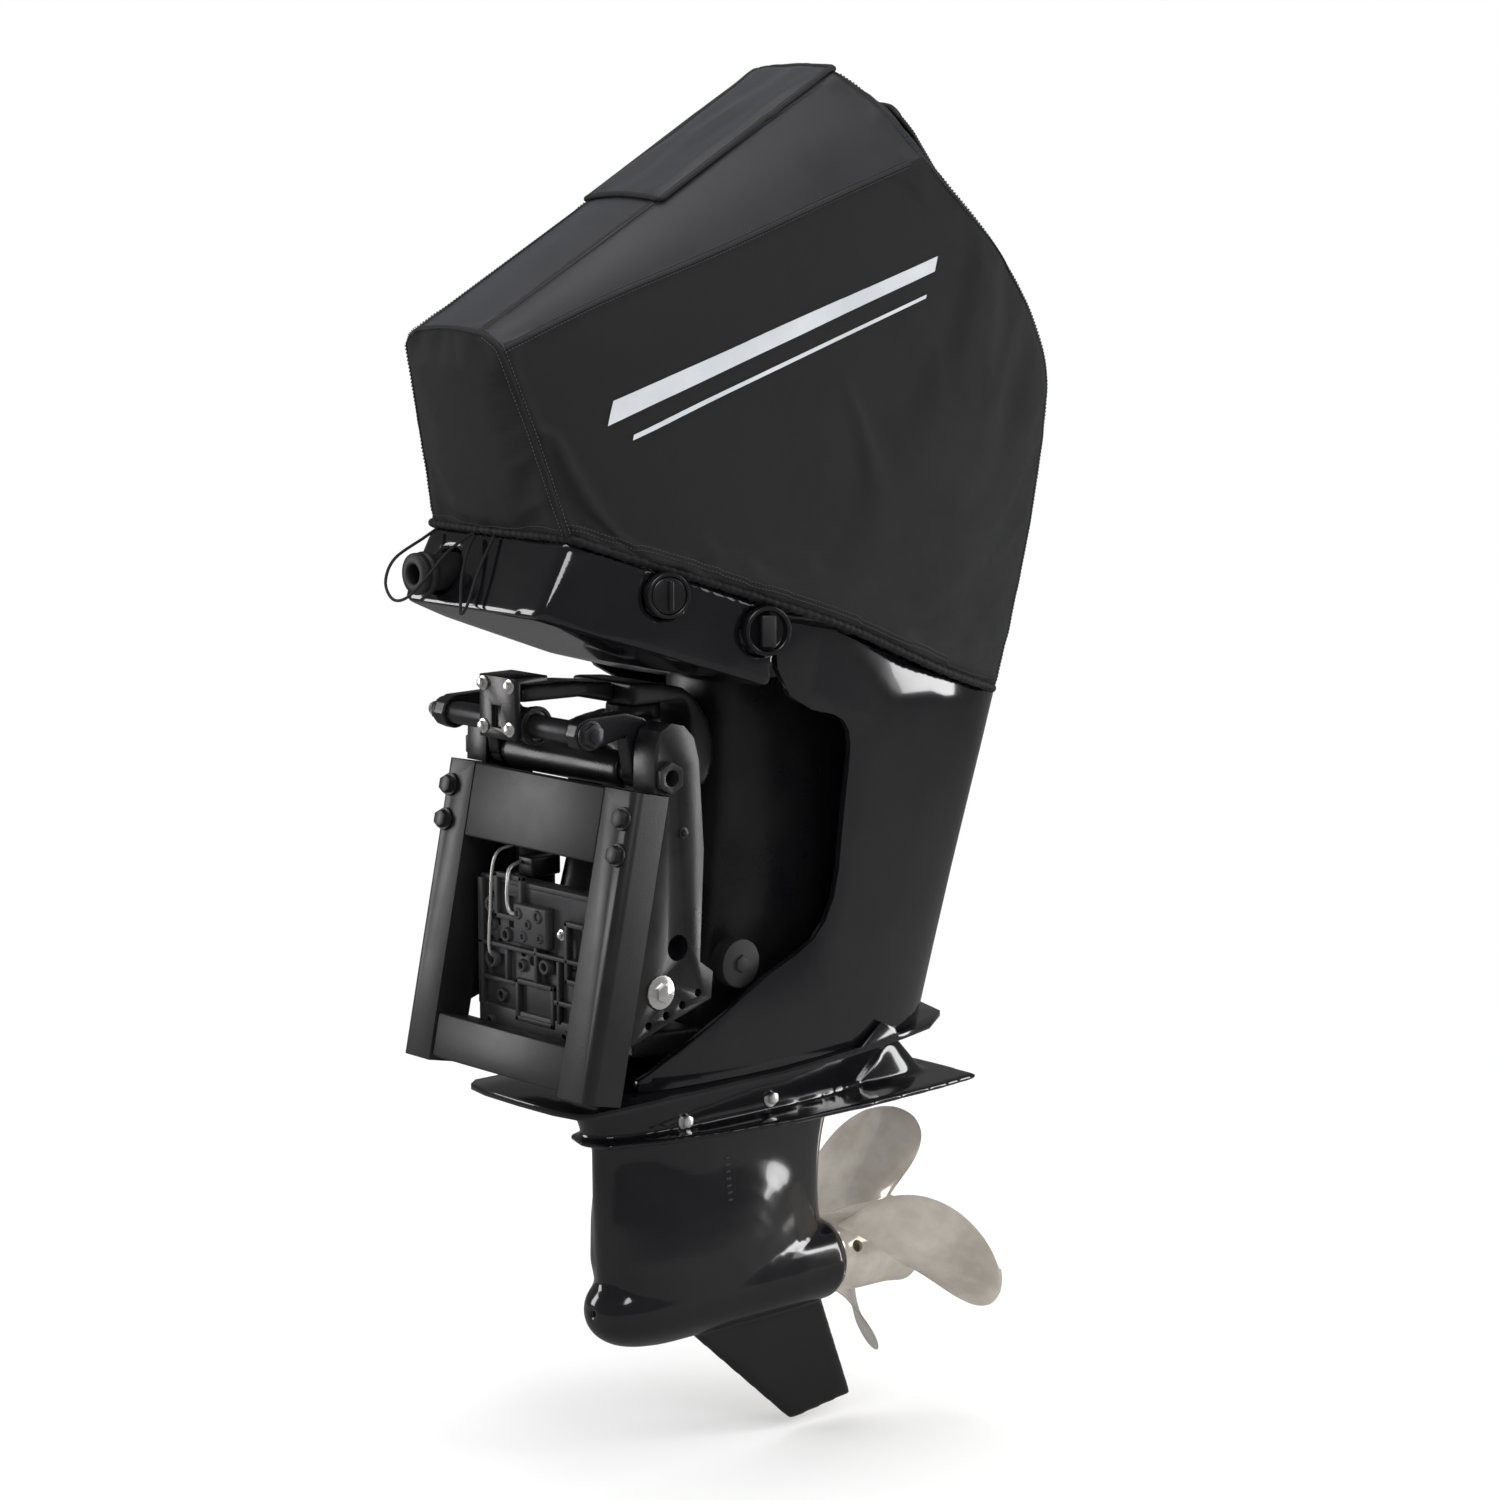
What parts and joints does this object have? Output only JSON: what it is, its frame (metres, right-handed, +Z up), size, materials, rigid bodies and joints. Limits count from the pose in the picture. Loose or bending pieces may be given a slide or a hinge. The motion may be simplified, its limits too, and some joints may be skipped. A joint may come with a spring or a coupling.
{
  "type": "outboard motor",
  "caption": "Large four-stroke outboard motor with a fabric cowl cover, hydraulic steering and a tilting, steering drive leg, bolted to a leaning steel carrier frame.",
  "frame": {"origin": "Centre of the carrier frame's top plate, on its front face, where a transom's front would be.", "axes": "+X is port, +Y is aft, +Z is up; the gearcase and propeller hang down and aft of the origin."},
  "size_m": [0.4789, 0.9139, 1.861],
  "materials": {
    "gloss": "gloss",
    "casting": "satin",
    "carrier": "matte",
    "satin": "satin",
    "steel": "satin",
    "polished": "polished",
    "aluminium": "satin",
    "iron": "matte",
    "rubber": "matte",
    "plastic": "satin",
    "fabric": "matte",
    "cord": "matte"
  },
  "bodies": {
    "carrier_frame": {"carrier_rail_port": "carrier", "carrier_rail_starboard": "carrier", "carrier_top_plate": "carrier", "carrier_bottom_bar": "carrier", "carrier_bolt_port_1": "carrier", "carrier_bolt_port_2": "carrier", "carrier_bolt_starboard_1": "carrier", "carrier_bolt_starboard_2": "carrier", "clamp_bracket_port": "casting", "clamp_bracket_starboard": "casting", "tilt_tube": "satin", "lower_pivot_bolt": "steel", "trim_manifold": "iron", "trim_pump_motor": "casting", "trim_fluid_tank": "casting"},
    "trim_ram_left": {"trim_ram_port": "steel"},
    "trim_ram_right": {"trim_ram_starboard": "steel"},
    "tilt_barrel": {"tilt_cylinder": "casting"},
    "tilt_ram": {"tilt_rod": "steel"},
    "swivel": {"swivel_bracket": "casting", "steering_support_port": "casting", "steering_support_starboard": "casting", "steering_rod": "satin"},
    "steering_slider": {"steering_cylinder": "casting", "steering_link_plate": "casting"},
    "engine": {"steering_arm": "casting", "upper_yoke": "casting", "kingpin": "steel", "lower_yoke": "casting", "driveshaft_housing": "casting", "adapter_plate": "aluminium", "lower_mount_port": "rubber", "lower_mount_starboard": "rubber", "side_fairing_port": "gloss", "side_fairing_starboard": "gloss", "splash_plate": "gloss", "gearcase": "gloss", "bearing_carrier": "aluminium", "engine_block": "aluminium", "cylinder_head_port": "aluminium", "cylinder_head_starboard": "aluminium", "intake_plenum": "plastic", "cover": "fabric", "top_cowl": "gloss", "lower_cowl": "gloss", "flush_socket": "plastic", "tilt_switch_bezel": "plastic", "rigging_grommet": "rubber", "tie_cord": "cord"},
    "flush_plug": {"flush_cap": "plastic"},
    "tilt_rocker": {"tilt_switch_rocker": "rubber"},
    "crank_train": {"crankshaft": "iron", "driveshaft": "steel"},
    "gear_forward": {"forward_gear": "iron"},
    "gear_reverse": {"reverse_gear": "iron"},
    "clutch": {"dog_clutch": "steel"},
    "propeller_set": {"propeller": "polished", "propeller_nut": "steel", "propeller_shaft": "steel"}
  },
  "joints": [
    {"name": "tilt", "type": "hinge", "parent": "carrier_frame", "child": "swivel", "pos_m": [0, 0.061, 0.045], "axis": [1, 0, 0], "range_deg": [-5, 65]},
    {"name": "steer", "type": "hinge", "parent": "swivel", "child": "engine", "pos_m": [0, 0.165, -0.1], "axis": [0, 0, 1], "range_deg": [-25, 25]},
    {"name": "steering_slide", "type": "slide", "parent": "swivel", "child": "steering_slider", "axis": [1, 0, 0], "range_m": [-0.0795, 0.0795]},
    {"name": "tilt_barrel_swing", "type": "hinge", "parent": "carrier_frame", "child": "tilt_barrel", "pos_m": [0, 0.047, -0.228], "axis": [1, 0, 0], "range_deg": [-1.5, 1.5]},
    {"name": "tilt_ram_slide", "type": "slide", "parent": "tilt_barrel", "child": "tilt_ram", "axis": [0, 0.2814, 0.9596], "range_m": [-0.0068, 0.0864]},
    {"name": "trim_ram_slide_left", "type": "slide", "parent": "carrier_frame", "child": "trim_ram_left", "axis": [0, 1, 0], "range_m": [-0.0035, 0.045]},
    {"name": "trim_ram_slide_right", "type": "slide", "parent": "carrier_frame", "child": "trim_ram_right", "axis": [0, 1, 0], "range_m": [-0.0035, 0.045]},
    {"name": "propeller_spin", "type": "hinge", "parent": "engine", "child": "propeller_set", "pos_m": [0, 0.56, -0.705], "axis": [0, 1, 0], "continuous": true},
    {"name": "crank_spin", "type": "hinge", "parent": "engine", "child": "crank_train", "pos_m": [0, 0.285, 0], "axis": [0, 0, 1], "continuous": true},
    {"name": "forward_gear_spin", "type": "hinge", "parent": "engine", "child": "gear_forward", "pos_m": [0, 0.243, -0.705], "axis": [0, 1, 0], "continuous": true},
    {"name": "reverse_gear_spin", "type": "hinge", "parent": "engine", "child": "gear_reverse", "pos_m": [0, 0.327, -0.705], "axis": [0, 1, 0], "continuous": true},
    {"name": "clutch_slide", "type": "slide", "parent": "propeller_set", "child": "clutch", "axis": [0, 1, 0], "range_m": [-0.006, 0.006]},
    {"name": "flush_cap_turn", "type": "hinge", "parent": "engine", "child": "flush_plug", "pos_m": [0.182, 0.063, 0.275], "axis": [0.9531, -0.301, 0.03], "range_deg": [0, 90]},
    {"name": "tilt_switch_rock", "type": "hinge", "parent": "engine", "child": "tilt_rocker", "pos_m": [0.22458, 0.19729, 0.22227], "axis": [0.3012, 0.9536, 0], "range_deg": [-6, 6], "stiffness_Nm_per_rad": 0.2}
  ],
  "couplings": [
    {"joint": "steering_slide", "follows": "steer", "m_per_rad": 0.18112},
    {"joint": "tilt_barrel_swing", "follows": "tilt", "ratio": 0.016},
    {"joint": "tilt_ram_slide", "follows": "tilt", "m_per_rad": 0.0743},
    {"joint": "trim_ram_slide_left", "follows": "tilt", "m_per_rad": 0.0396},
    {"joint": "trim_ram_slide_right", "follows": "tilt", "m_per_rad": 0.0396},
    {"joint": "forward_gear_spin", "follows": "crank_spin", "ratio": -0.54167},
    {"joint": "reverse_gear_spin", "follows": "crank_spin", "ratio": 0.54167}
  ]
}
